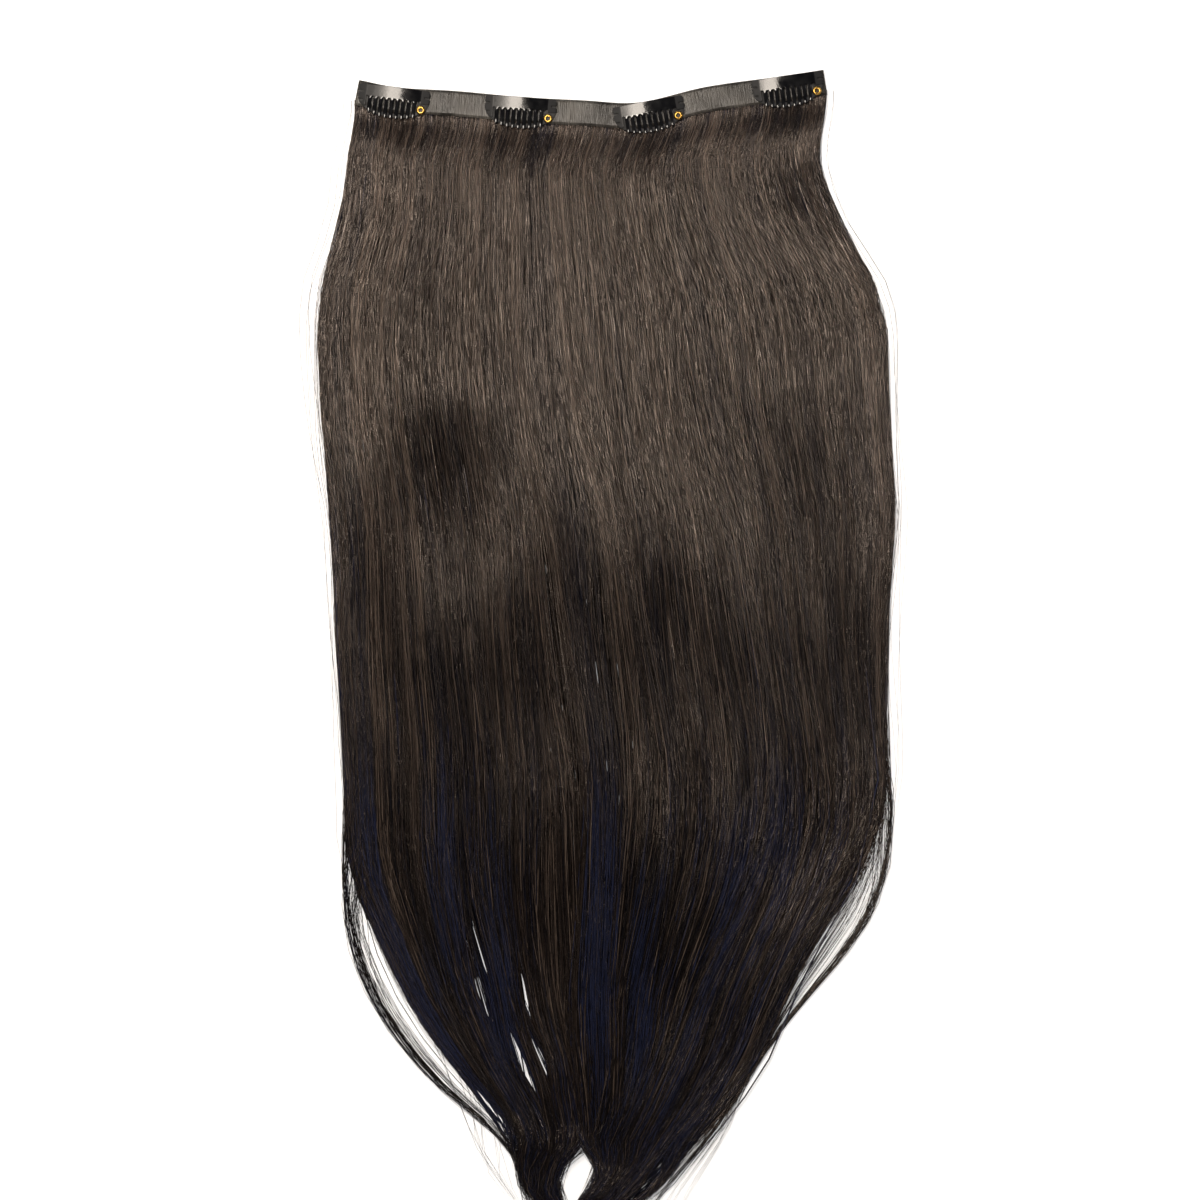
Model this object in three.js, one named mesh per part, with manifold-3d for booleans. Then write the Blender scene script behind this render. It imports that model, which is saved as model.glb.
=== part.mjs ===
// A clip-in hair extension: one wide weft of long straight hair on a folded seamless band, with four
// black snap combs sewn along the band. It lies on its back with the combs facing up.
// Millimetres. X runs along the band, -Y down the hair, +Z up. The origin is the middle of the
// band's underside, so the part lies on the plane z = 0.
import * as THREE from "three";
import { mergeVertices } from "three/addons/utils/BufferGeometryUtils.js";
import Module from "manifold-3d";

const wasm = await Module();
wasm.setup();

// Clearances
const GAP = 0.3; // between pieces that rest on each other
const SLOT_CLEARANCE = 0.25; // hair root in the folded band

// Band: a skin folded over the hair roots
const BAND_LENGTH = 206;
const BAND_WIDTH = 11;
const BAND_SKIN = 0.5;
const BAND_FOLD = 0.8;
const BAND_END_SEAL = 1.4;
const BAND_SAG = 14.5; // how far the band bows down the hair from its highest end
const ROOT_THICKNESS = 0.6;
const ROOT_TAIL = 2.5; // root strip that stands out of the band
const BAND_STATIONS = 36;
const BAND_THICKNESS = 2 * (BAND_SKIN + SLOT_CLEARANCE) + ROOT_THICKNESS;

// The band's course, as shares of its length and of its sag
const BAND_COURSE = [
  { along: 0.0, drop: 0.31 },
  { along: 0.08, drop: 0.53 },
  { along: 0.21, drop: 0.65 },
  { along: 0.35, drop: 0.83 },
  { along: 0.48, drop: 0.93 },
  { along: 0.6, drop: 1.0 },
  { along: 0.75, drop: 0.52 },
  { along: 0.91, drop: 0.2 },
  { along: 1.0, drop: 0.0 },
];

// Snap combs: a sewn frame, a comb leaf that swings on its upper edge, and one brass eyelet
const CLIP_LENGTH = 31;
const CLIP_TOP = 5.8; // above the clip's own centre line
const CLIP_DEPTH = 7.4; // the frame's bow below it
const CLIP_END_MARGIN = 1;
const CLIP_EDGE_SET = 0.4; // clip's upper edge below the band's
const CLIP_PLACES = [0, 0.32, 0.645, 1]; // shares of the run between the end clips
const CLIP_SHEET = 0.5;
const CLIP_CORNER = 1.4;
const BOW_WIDTH = 1.7;
const TOP_RAIL = 1.8;
const SEWING_HOLE = 1.1;
const SEWING_HOLE_INSET = 1.6;
const SEWING_HOLE_PLACES = [0.67, 0.2]; // shares of the clip's top

const EYELET_HOLE = 1.5;
const EYELET_SKIN = 0.3;
const EYELET_FLANGE = 4;
const EYELET_RISE = 0.75;
const EYELET_FROM_END = 3.2;
const EYELET_SIDES = 14;
const EYELET_CLEARANCE = 0.2;
const EYELET_WALL = 0.35; // frame left round the eyelet's hole
const EYELET_SEAT = EYELET_HOLE / 2 + EYELET_SKIN + EYELET_CLEARANCE; // radius of that hole

const TEETH = 9;
const TOOTH_SLOT = 0.95;
const TEETH_INSET = 4.4; // from the clip's left end to the first tooth
const TIP_OVERHANG = 0.6; // tips past the frame's bow
const PLATE_EDGE = 0.8; // where the comb's plate ends and its slots begin
const SLOT_ARCH = 0.6; // rounding at the top of each slot
const LEAF_ARCH = 1.8; // the leaf's bow at its middle
const NOTCH_DEPTH = 2.2;
const NOTCH_WIDTH = 1;
const NOTCH_PLACE = 0.53; // its top, a share of the clip's top
const LOBES = { notch: 0.12, end: 0.49 }; // the left tab's lower lobe, shares of the bow's depth
const TAB_TAPER = 0.25; // how much the lowest lobe narrows

// Hair
const HAIR_LENGTH = 494; // from the band's lower edge to the longest tip
const HAIR_HEIGHT = 11;
const HAIR_UNDERCUT = 2; // how far the locks start behind the band's edge before they are trimmed
const HAIR_DROOP = 25; // run over which the hair sinks from the band to the table
const UNDER_CLIP_RUN = 2; // how far past the clips the hair stays low
const LOCK_OVERLAP = 1.45;
const LOCK_ARC_POINTS = 7;

// The hair's outline on the table: shares of its length and of half the band. A stray lock runs
// outside the mass.
const HAIR_OUTLINE = [
  { down: 0.0, left: 1.0, right: 0.98, farLeft: 1.0, farRight: 0.99 },
  { down: 0.03, left: 1.04, right: 0.97, farLeft: 1.03, farRight: 0.98 },
  { down: 0.06, left: 1.09, right: 1.0, farLeft: 1.08, farRight: 1.0 },
  { down: 0.13, left: 1.15, right: 1.18, farLeft: 1.14, farRight: 1.16 },
  { down: 0.2, left: 1.17, right: 1.27, farLeft: 1.16, farRight: 1.26 },
  { down: 0.3, left: 1.14, right: 1.29, farLeft: 1.13, farRight: 1.28 },
  { down: 0.4, left: 1.1, right: 1.3, farLeft: 1.09, farRight: 1.29 },
  { down: 0.5, left: 1.08, right: 1.28, farLeft: 1.07, farRight: 1.27 },
  { down: 0.6, left: 1.06, right: 1.25, farLeft: 1.05, farRight: 1.26 },
  { down: 0.68, left: 1.04, right: 1.18, farLeft: 1.05, farRight: 1.24 },
  { down: 0.75, left: 0.95, right: 1.03, farLeft: 1.03, farRight: 1.14 },
  { down: 0.82, left: 0.81, right: 0.87, farLeft: 0.89, farRight: 0.9 },
  { down: 0.88, left: 0.64, right: 0.68, farLeft: 0.71, farRight: 0.71 },
  { down: 0.94, left: 0.44, right: 0.5, farLeft: 0.47, farRight: 0.57 },
  { down: 1.0, left: 0.2, right: 0.21, farLeft: 0.26, farRight: 0.4 },
];

// Its height as a share of HAIR_HEIGHT, a lock's width as a share of its full one, and how far the
// middle sways to the right.
const HAIR_SECTION = [
  { down: 0.0, height: 0.2, width: 1, sway: 0 },
  { down: 0.03, height: 0.3, width: 1, sway: 0 },
  { down: 0.06, height: 0.5, width: 1, sway: -0.01 },
  { down: 0.13, height: 0.75, width: 1, sway: -0.02 },
  { down: 0.2, height: 0.95, width: 1, sway: -0.02 },
  { down: 0.3, height: 1, width: 1, sway: 0 },
  { down: 0.4, height: 0.95, width: 1, sway: 0.03 },
  { down: 0.5, height: 0.9, width: 1, sway: 0.06 },
  { down: 0.6, height: 0.85, width: 0.97, sway: 0.09 },
  { down: 0.68, height: 0.8, width: 0.92, sway: 0.1 },
  { down: 0.75, height: 0.72, width: 0.87, sway: 0.09 },
  { down: 0.82, height: 0.64, width: 0.8, sway: 0.06 },
  { down: 0.88, height: 0.52, width: 0.72, sway: 0.03 },
  { down: 0.94, height: 0.36, width: 0.57, sway: 0 },
  { down: 1.0, height: 0.1, width: 0.2, sway: -0.02 },
];

// The locks, from left to right: where each leaves the band, as a share of half the band, and its
// reach, rise and girth.
const LOCKS = [
  { place: -0.95, reach: 0.97, rise: 0.3, girth: 0.22, stray: true },
  { place: -0.88, reach: 0.95, rise: 0.8, girth: 1 },
  { place: -0.72, reach: 0.97, rise: 1, girth: 1 },
  { place: -0.54, reach: 0.94, rise: 0.9, girth: 1 },
  { place: -0.36, reach: 1, rise: 0.86, girth: 1 },
  { place: -0.18, reach: 0.965, rise: 0.94, girth: 1 },
  { place: 0.01, reach: 0.93, rise: 0.88, girth: 1 },
  { place: 0.19, reach: 0.985, rise: 0.96, girth: 1 },
  { place: 0.37, reach: 0.95, rise: 0.87, girth: 1 },
  { place: 0.54, reach: 1, rise: 0.93, girth: 1 },
  { place: 0.72, reach: 0.96, rise: 0.98, girth: 1 },
  { place: 0.88, reach: 0.94, rise: 0.8, girth: 1 },
  { place: 0.95, reach: 0.97, rise: 0.3, girth: 0.22, stray: true },
];
const LOCK_PITCH = 0.18; // between neighbouring full locks, a share of half the band

// Materials
const skinMaterial = new THREE.MeshStandardMaterial({ color: 0x4a4641, roughness: 0.35, metalness: 0 });
const hairMaterial = new THREE.MeshStandardMaterial({ color: 0x2a211c, roughness: 0.45, metalness: 0 });
const steelMaterial = new THREE.MeshStandardMaterial({ color: 0x0b0b0c, roughness: 0.18, metalness: 0.6 });
const brassMaterial = new THREE.MeshStandardMaterial({ color: 0xc89a3c, roughness: 0.25, metalness: 1 });

// A closed solid from like sections, each a loop of points, with both ends capped.
function loft(sections, capFaces) {
  const count = sections[0].length;
  const positions = sections.flat().flatMap((p) => [p.x, p.y, p.z]);
  const faces = [];
  for (let i = 0; i + 1 < sections.length; i++) {
    for (let k = 0; k < count; k++) {
      const a = i * count + k;
      const b = i * count + ((k + 1) % count);
      faces.push(a, b, b + count, a, b + count, a + count);
    }
  }
  const last = (sections.length - 1) * count;
  for (const [a, b, c] of capFaces) {
    faces.push(a, c, b, last + a, last + b, last + c);
  }
  const geometry = new THREE.BufferGeometry();
  geometry.setAttribute("position", new THREE.Float32BufferAttribute(positions, 3));
  geometry.setIndex(faces);
  return geometry;
}

// Triangles that fan out from a loop's first point.
const fan = (count) => Array.from({ length: count - 2 }, (_, k) => [0, k + 1, k + 2]);

// A geometry as a solid for cutting and joining, and back.
function solid(geometry) {
  const bare = geometry.clone();
  bare.deleteAttribute("normal");
  bare.deleteAttribute("uv");
  const merged = mergeVertices(bare, 1e-4);
  const mesh = new wasm.Mesh({
    numProp: 3,
    vertProperties: merged.attributes.position.array,
    triVerts: new Uint32Array(merged.index.array),
  });
  const made = new wasm.Manifold(mesh);
  if (made.volume() > 0) return made;
  const { triVerts, vertProperties } = mesh;
  for (let i = 0; i < triVerts.length; i += 3) {
    [triVerts[i + 1], triVerts[i + 2]] = [triVerts[i + 2], triVerts[i + 1]];
  }
  return new wasm.Manifold(new wasm.Mesh({ numProp: 3, vertProperties, triVerts }));
}

function shape(made) {
  const mesh = made.getMesh();
  const geometry = new THREE.BufferGeometry();
  geometry.setAttribute("position", new THREE.Float32BufferAttribute(mesh.vertProperties, 3));
  geometry.setIndex(Array.from(mesh.triVerts));
  return geometry;
}

function piece(name, geometry, material) {
  const mesh = new THREE.Mesh(geometry, material);
  mesh.name = name;
  return mesh;
}

// The band's centre line, through the origin
const middleDrop = BAND_COURSE.find((row) => row.along > 0.45).drop;
const bandLine = new THREE.CatmullRomCurve3(
  BAND_COURSE.map(
    ({ along, drop }) =>
      new THREE.Vector3((along - 0.5) * BAND_LENGTH, (middleDrop - drop) * BAND_SAG, 0),
  ),
  false,
  "centripetal",
);
bandLine.arcLengthDivisions = 600;

// A point on the band at a share of its length, `across` from its centre line towards its upper
// edge, and `up` above the table. Past an end the band's course goes on straight.
function onBand(share, across, up) {
  const inside = THREE.MathUtils.clamp(share, 0, 1);
  const run = bandLine.getTangentAt(inside);
  const centre = bandLine.getPointAt(inside).addScaledVector(run, (share - inside) * BAND_LENGTH);
  return new THREE.Vector3(centre.x - run.y * across, centre.y + run.x * across, up);
}

// A bar of rectangular section that follows the band.
function bandBar(inset, low, high, under, over) {
  const from = inset / BAND_LENGTH;
  const sections = Array.from({ length: BAND_STATIONS + 1 }, (_, i) => {
    const share = from + (1 - 2 * from) * (i / BAND_STATIONS);
    return [
      onBand(share, low, under),
      onBand(share, high, under),
      onBand(share, high, over),
      onBand(share, low, over),
    ];
  });
  return solid(loft(sections, fan(4)));
}

const HALF_WIDTH = BAND_WIDTH / 2;
const SLOT_TOP = BAND_THICKNESS - BAND_SKIN;
const ROOT_BOTTOM = BAND_SKIN + SLOT_CLEARANCE;
const ROOT_TOP = ROOT_BOTTOM + ROOT_THICKNESS;

// The band: one skin folded at its upper edge, sealed at both ends and open below for the hair.
function band() {
  const outer = bandBar(0, -HALF_WIDTH, HALF_WIDTH, 0, BAND_THICKNESS);
  const slot = bandBar(BAND_END_SEAL, -BAND_WIDTH, HALF_WIDTH - BAND_FOLD, BAND_SKIN, SLOT_TOP);
  return shape(outer.subtract(slot));
}

// A value of a table between its rows.
function course(table, column, down) {
  const next = Math.max(1, table.findIndex((row) => row.down >= down));
  const [before, after] = table.slice(next - 1, next + 1);
  const share = (down - before.down) / (after.down - before.down);
  return THREE.MathUtils.lerp(before[column], after[column], share);
}

// Where a lock's middle lies at a share of its way down.
function onLock({ place, reach, stray }, down) {
  const half = BAND_LENGTH / 2;
  const side = place < 0 ? "left" : "right";
  const farSide = place < 0 ? "farLeft" : "farRight";
  const share = stray
    ? Math.sign(place) * course(HAIR_OUTLINE, farSide, down)
    : place * course(HAIR_OUTLINE, side, down);
  const swayed = (share + course(HAIR_SECTION, "sway", down) * (1 - place * place)) * half;
  const root = onBand((place + 1) / 2, HAIR_UNDERCUT - HALF_WIDTH, 0);
  const tip = HAIR_UNDERCUT - HALF_WIDTH - HAIR_LENGTH * reach;
  const settled = Math.min(1, down / HAIR_OUTLINE[1].down);
  return new THREE.Vector3(
    THREE.MathUtils.lerp(root.x, swayed, settled),
    THREE.MathUtils.lerp(root.y, tip, down),
    0,
  );
}

// Levels and lengths the hair keeps to where it passes under the clips
const FRAME_BOTTOM = BAND_THICKNESS + GAP;
const CLIP_OVERHANG = CLIP_EDGE_SET + CLIP_TOP + CLIP_DEPTH + TIP_OVERHANG - BAND_WIDTH;
const LOW_RUN = HAIR_UNDERCUT + CLIP_OVERHANG + UNDER_CLIP_RUN;
const LOW_TOP = FRAME_BOTTOM - 2 * GAP;

// One lock: flat below, rounded above, and tapering to its tip.
function lock(its) {
  const length = HAIR_LENGTH * its.reach;
  const lowEnd = LOW_RUN / length;
  const stops = HAIR_OUTLINE.map((row) => row.down).filter((down) => down > lowEnd);
  const sections = [0, lowEnd, ...stops].map((down) => {
    const ahead = onLock(its, Math.min(1, down + 0.01));
    const run = ahead.sub(onLock(its, Math.max(0, down - 0.01))).normalize();
    const centre = onLock(its, down);
    const spread = course(HAIR_OUTLINE, its.place < 0 ? "left" : "right", down);
    const width = LOCK_PITCH * (BAND_LENGTH / 2) * spread * course(HAIR_SECTION, "width", down);
    const halfLock = (width / 2) * its.girth * LOCK_OVERLAP;
    const sunk = THREE.MathUtils.clamp(((down - lowEnd) * length) / HAIR_DROOP, 0, 1);
    const under = BAND_SKIN * (1 - sunk);
    const full = HAIR_HEIGHT * course(HAIR_SECTION, "height", down) * its.rise;
    const over = down > lowEnd ? full : LOW_TOP;
    return Array.from({ length: LOCK_ARC_POINTS }, (_, k) => {
      const angle = Math.PI * (k / (LOCK_ARC_POINTS - 1));
      const across = Math.cos(angle) * halfLock;
      const up = under + (over - under) * Math.pow(Math.sin(angle), 0.8);
      return new THREE.Vector3(centre.x - run.y * across, centre.y + run.x * across, up);
    });
  });
  return solid(loft(sections, fan(LOCK_ARC_POINTS)));
}

// The hair: locks fused to a root strip that lies in the band's slot. The locks are trimmed clear
// of the band's lower edge.
function hair() {
  const locks = LOCKS.map(lock).reduce((all, one) => all.add(one));
  const bandSpace = bandBar(
    -BAND_LENGTH / 20,
    -HALF_WIDTH - GAP,
    HALF_WIDTH + BAND_WIDTH,
    -HAIR_HEIGHT,
    HAIR_HEIGHT,
  );
  const root = bandBar(
    BAND_END_SEAL + GAP,
    -HALF_WIDTH - ROOT_TAIL,
    HALF_WIDTH - BAND_FOLD - SLOT_CLEARANCE,
    ROOT_BOTTOM,
    ROOT_TOP,
  );
  return shape(locks.subtract(bandSpace).add(root));
}

// The frame's bow: half an ellipse from the ends down to its lowest point.
const CLIP_HALF = CLIP_LENGTH / 2;
const bowAt = (u, inset) =>
  -(CLIP_DEPTH - inset) * Math.sqrt(Math.max(0, 1 - (u / (CLIP_HALF - inset)) ** 2));

// The eyelet's place, inside the bow at the clip's right end
const EYELET_AT = { u: CLIP_HALF - EYELET_FROM_END };
EYELET_AT.v = bowAt(EYELET_AT.u, EYELET_SEAT + EYELET_WALL);

// How far the bow has drawn in from the clip's end at `v` below the centre line.
const endInset = (v) => CLIP_HALF * (1 - Math.sqrt(1 - (v / CLIP_DEPTH) ** 2));

// The frame: a flat crescent ring, with a tab at each end that is pierced for sewing.
function frame() {
  const outline = new THREE.Shape();
  outline.moveTo(-CLIP_HALF + CLIP_CORNER, CLIP_TOP);
  outline.absarc(-CLIP_HALF + CLIP_CORNER, CLIP_TOP - CLIP_CORNER, CLIP_CORNER, Math.PI / 2, Math.PI);
  outline.lineTo(-CLIP_HALF, 0);
  outline.absellipse(0, 0, CLIP_HALF, CLIP_DEPTH, Math.PI, 2 * Math.PI);
  outline.absarc(CLIP_HALF - CLIP_CORNER, CLIP_TOP - CLIP_CORNER, CLIP_CORNER, 0, Math.PI / 2);
  outline.closePath();

  const windowHalf = CLIP_HALF - EYELET_FROM_END - EYELET_SEAT - EYELET_WALL;
  const opening = new THREE.Path();
  opening.moveTo(-windowHalf, CLIP_TOP - TOP_RAIL);
  opening.lineTo(-windowHalf, 0);
  for (let k = 1; k < 12; k++) {
    const u = -windowHalf + (2 * windowHalf * k) / 12;
    opening.lineTo(u, bowAt(u, BOW_WIDTH));
  }
  opening.lineTo(windowHalf, 0);
  opening.lineTo(windowHalf, CLIP_TOP - TOP_RAIL);
  opening.closePath();
  outline.holes.push(opening);

  for (const side of [-1, 1]) {
    for (const share of SEWING_HOLE_PLACES) {
      const hole = new THREE.Path();
      const middle = side * (CLIP_HALF - SEWING_HOLE_INSET);
      hole.absarc(middle, share * CLIP_TOP, SEWING_HOLE / 2, 0, 2 * Math.PI);
      outline.holes.push(hole);
    }
  }
  const eyeletHole = new THREE.Path();
  eyeletHole.absarc(EYELET_AT.u, EYELET_AT.v, EYELET_SEAT, 0, 2 * Math.PI);
  outline.holes.push(eyeletHole);
  return new THREE.ExtrudeGeometry(outline, {
    depth: CLIP_SHEET,
    bevelEnabled: false,
    curveSegments: 8,
  });
}

// A sheet of cells on a grid: a cell that `present` leaves out is a hole or a slot. `place` gives
// each grid point of the sheet's middle, and the sheet is `thick` along Z.
function cellSheet(columns, rows, thick, present, place) {
  const points = new Map();
  const positions = [];
  const faces = [];
  const vertex = (i, j, side) => {
    const key = `${i},${j},${side}`;
    if (!points.has(key)) {
      const p = place(i, j);
      points.set(key, positions.length / 3);
      positions.push(p.x, p.y, p.z + (side * thick) / 2);
    }
    return points.get(key);
  };
  const isCell = (i, j) =>
    i >= 0 && j >= 0 && i < columns - 1 && j < rows - 1 && present(i, j);
  const quad = (a, b, c, d) => faces.push(a, b, c, a, c, d);
  for (let i = 0; i < columns - 1; i++) {
    for (let j = 0; j < rows - 1; j++) {
      if (!isCell(i, j)) continue;
      const ring = [[i, j], [i, j + 1], [i + 1, j + 1], [i + 1, j]];
      quad(...ring.map(([a, b]) => vertex(a, b, 1)));
      quad(...[...ring].reverse().map(([a, b]) => vertex(a, b, -1)));
      const neighbours = [[i - 1, j], [i, j + 1], [i + 1, j], [i, j - 1]];
      neighbours.forEach(([a, b], k) => {
        if (isCell(a, b)) return;
        const from = ring[k];
        const to = ring[(k + 1) % 4];
        quad(vertex(...to, 1), vertex(...from, 1), vertex(...from, -1), vertex(...to, -1));
      });
    }
  }
  const geometry = new THREE.BufferGeometry();
  geometry.setAttribute("position", new THREE.Float32BufferAttribute(positions, 3));
  geometry.setIndex(faces);
  return geometry;
}

// Levels of one clip, above the table
const FRAME_TOP = FRAME_BOTTOM + CLIP_SHEET;
const LEAF_MIDDLE = FRAME_TOP + GAP + CLIP_SHEET / 2;

// Rows of the comb leaf: down the plate and its end tabs, with the sewing notches between two of
// them, then down the teeth as shares of a tooth.
const NOTCH_TOP = NOTCH_PLACE * CLIP_TOP;
const NOTCH_ROWS = [CLIP_TOP, NOTCH_TOP, NOTCH_TOP - NOTCH_WIDTH];
const PLATE_ROWS = [...NOTCH_ROWS, PLATE_EDGE];
const LOWER_NOTCH = -LOBES.notch * CLIP_DEPTH;
const LOBE_ROWS = [LOWER_NOTCH, LOWER_NOTCH - NOTCH_WIDTH, -LOBES.end * CLIP_DEPTH];
const LEFT_TAB_ROWS = [...NOTCH_ROWS, ...LOBE_ROWS];
const RIGHT_TAB_ROWS = [...NOTCH_ROWS, 0];
const TOOTH_ROWS = [
  { down: 0.12, width: 1 },
  { down: 0.5, width: 1 },
  { down: 0.8, width: 1 },
  { down: 0.93, width: 0.8 },
  { down: 1, width: 0.35 },
];

// The comb leaf: a glossy arched plate with two sewing notches at its left end and one at its
// right, and nine teeth whose tips curl down over the frame's bow.
function combLeaf() {
  const notchEnd = CLIP_HALF - NOTCH_DEPTH;
  const firstEdge = TEETH_INSET - CLIP_HALF;
  const lastEdge = EYELET_AT.u - EYELET_FLANGE / 2 - GAP;
  const toothWidth = (lastEdge - firstEdge - (TEETH - 1) * TOOTH_SLOT) / TEETH;
  const columns = [{ u: -CLIP_HALF, tab: "left" }, { u: -notchEnd, tab: "left" }];
  columns.push({ u: (firstEdge - notchEnd) / 2, tab: "left" });
  for (let k = 0; k < TEETH; k++) {
    const left = firstEdge + k * (toothWidth + TOOTH_SLOT);
    const centre = left + toothWidth / 2;
    if (k > 0) columns.push({ u: left - TOOTH_SLOT / 2, slot: true });
    columns.push({ u: left, centre, opens: true }, { u: left + toothWidth, centre });
  }
  columns.push({ u: (lastEdge + notchEnd) / 2, tab: "right" });
  columns.push({ u: notchEnd, tab: "right" }, { u: CLIP_HALF, tab: "right" });

  const plateRows = PLATE_ROWS.length;
  const rowCount = plateRows + TOOTH_ROWS.length;
  const isEnd = (u) => Math.abs(Math.abs(u) - CLIP_HALF) < 1e-6;

  const place = (i, j) => {
    const { u, tab, slot, centre } = columns[i];
    let across = u;
    let v;
    if (tab) {
      const tabRows = tab === "left" ? LEFT_TAB_ROWS : RIGHT_TAB_ROWS;
      v = tabRows[Math.min(j, tabRows.length - 1)];
      if (isEnd(u) && j === 0) v -= CLIP_CORNER / 2;
      if (v < 0) across += endInset(v) * [1, TAB_TAPER, 0][i];
    } else if (j < plateRows) {
      v = PLATE_ROWS[j];
      if (slot && j === plateRows - 1) v += SLOT_ARCH;
    } else {
      const row = TOOTH_ROWS[j - plateRows];
      const tip = bowAt(centre ?? u, 0) - TIP_OVERHANG;
      v = THREE.MathUtils.lerp(PLATE_EDGE, tip, row.down);
      if (centre !== undefined) across = centre + (u - centre) * row.width;
    }
    const arch = LEAF_ARCH * (1 - ((centre ?? u) / CLIP_HALF) ** 2);
    const curl = j < plateRows || tab ? 0 : TOOTH_ROWS[j - plateRows].down ** 3;
    return new THREE.Vector3(across, v, LEAF_MIDDLE + arch * (1 - curl));
  };

  const present = (i, j) => {
    const column = columns[i];
    const next = columns[i + 1];
    const inEndColumn = isEnd(column.u) || isEnd(next.u);
    if (j < plateRows - 1) return !(inEndColumn && j === 1);
    if (column.tab === "left" && next.tab === "left") return isEnd(column.u) ? j === 4 : j < 5;
    return column.opens === true;
  };
  return cellSheet(columns.length, rowCount, CLIP_SHEET, present, place);
}

// The eyelet: a barrel through the frame with a domed flange on top of it.
function eyelet() {
  const hole = EYELET_HOLE / 2;
  const barrel = hole + EYELET_SKIN;
  const flange = EYELET_FLANGE / 2;
  const seat = CLIP_SHEET + GAP;
  const profile = [
    [hole, 0],
    [barrel, 0],
    [barrel, seat],
    [flange, seat],
    [flange, seat + EYELET_RISE * 0.35],
    [(flange + hole) / 2, seat + EYELET_RISE],
    [hole, seat + EYELET_RISE * 0.6],
    [hole, 0],
  ].map(([r, z]) => new THREE.Vector2(r, z));
  const turned = new THREE.LatheGeometry(profile, EYELET_SIDES);
  turned.rotateX(Math.PI / 2);
  return shape(solid(turned));
}

// One snap comb, square to the band at a share of its length. Its joint is the leaf's upper edge.
function clip(number, share) {
  const half = CLIP_HALF / BAND_LENGTH;
  const left = bandLine.getPointAt(share - half);
  const right = bandLine.getPointAt(share + half);
  const angle = Math.atan2(right.y - left.y, right.x - left.x);
  const set = HALF_WIDTH - CLIP_EDGE_SET - CLIP_TOP;
  const centre = onBand(share, set, 0);

  const group = new THREE.Group();
  group.position.copy(centre);
  group.rotation.z = angle;
  const sewnFrame = piece(`clip_${number}_frame`, frame(), steelMaterial);
  sewnFrame.position.z = FRAME_BOTTOM;
  const leaf = piece(`clip_${number}_comb`, combLeaf(), steelMaterial);
  const ring = piece(`clip_${number}_eyelet`, eyelet(), brassMaterial);
  ring.position.set(EYELET_AT.u, EYELET_AT.v, FRAME_BOTTOM);
  group.add(sewnFrame, leaf, ring);
  return group;
}

const weft = new THREE.Group();
weft.add(piece("band", band(), skinMaterial));
weft.add(piece("hair", hair(), hairMaterial));
const endClip = (CLIP_HALF + CLIP_END_MARGIN) / BAND_LENGTH;
CLIP_PLACES.forEach((place, i) => {
  weft.add(clip(i + 1, endClip + (1 - 2 * endClip) * place));
});

export default weft;
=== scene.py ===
"""A clip-in hair extension: long dark hair on a folded skin band with four snap combs."""

import bpy
import numpy as np
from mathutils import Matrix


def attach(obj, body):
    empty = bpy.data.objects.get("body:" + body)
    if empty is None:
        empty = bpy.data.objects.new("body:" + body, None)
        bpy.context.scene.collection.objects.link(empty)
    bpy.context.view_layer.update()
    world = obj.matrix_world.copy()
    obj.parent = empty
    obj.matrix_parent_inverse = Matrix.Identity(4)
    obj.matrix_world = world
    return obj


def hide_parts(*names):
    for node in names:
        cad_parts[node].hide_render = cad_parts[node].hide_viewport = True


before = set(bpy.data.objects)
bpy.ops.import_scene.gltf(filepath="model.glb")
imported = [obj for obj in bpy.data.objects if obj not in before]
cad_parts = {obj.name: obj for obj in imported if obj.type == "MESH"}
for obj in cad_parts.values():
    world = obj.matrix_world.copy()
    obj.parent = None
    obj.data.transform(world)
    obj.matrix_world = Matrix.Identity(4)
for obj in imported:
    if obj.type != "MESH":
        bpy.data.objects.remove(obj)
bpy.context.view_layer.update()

# ---------------------------------------------------------------------------------------------
# The weft is laid out flat on a pale table, combs up, and is seen from straight above. A long
# softbox over its left half, brightest along its near side, fades to the left in steps, so that
# each arched plate mirrors it with a hard right edge. Three low, weak fills keep the table even.
# ---------------------------------------------------------------------------------------------
MM = 0.001
VIEW_WIDTH, VIEW_MIDDLE, CAMERA_HEIGHT = 528 * MM, (3.96 * MM, -214.3 * MM), 2.0

camera = bpy.data.objects.new("camera", bpy.data.cameras.new("camera"))
camera.location = (*VIEW_MIDDLE, CAMERA_HEIGHT)
camera.data.sensor_width = 36
camera.data.lens = camera.data.sensor_width * CAMERA_HEIGHT / VIEW_WIDTH
bpy.context.scene.collection.objects.link(camera)
bpy.context.scene.camera = camera
bpy.context.scene.view_settings.view_transform = "Standard"


def softbox(name, place, aim, size, power, colour):
    """A flat lamp at `place` that faces `aim`, `size` wide and deep."""
    lamp = bpy.data.lights.new(name, "AREA")
    lamp.shape, lamp.size, lamp.size_y = "RECTANGLE", *size
    lamp.energy, lamp.color = power, colour
    held = bpy.data.objects.new(name, lamp)
    held.location = place
    line = np.subtract(aim, place)
    tilt = np.arctan2(np.hypot(line[0], line[1]), -line[2])
    held.rotation_euler = (tilt, 0, np.arctan2(-line[0], line[1]))
    bpy.context.scene.collection.objects.link(held)


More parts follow.
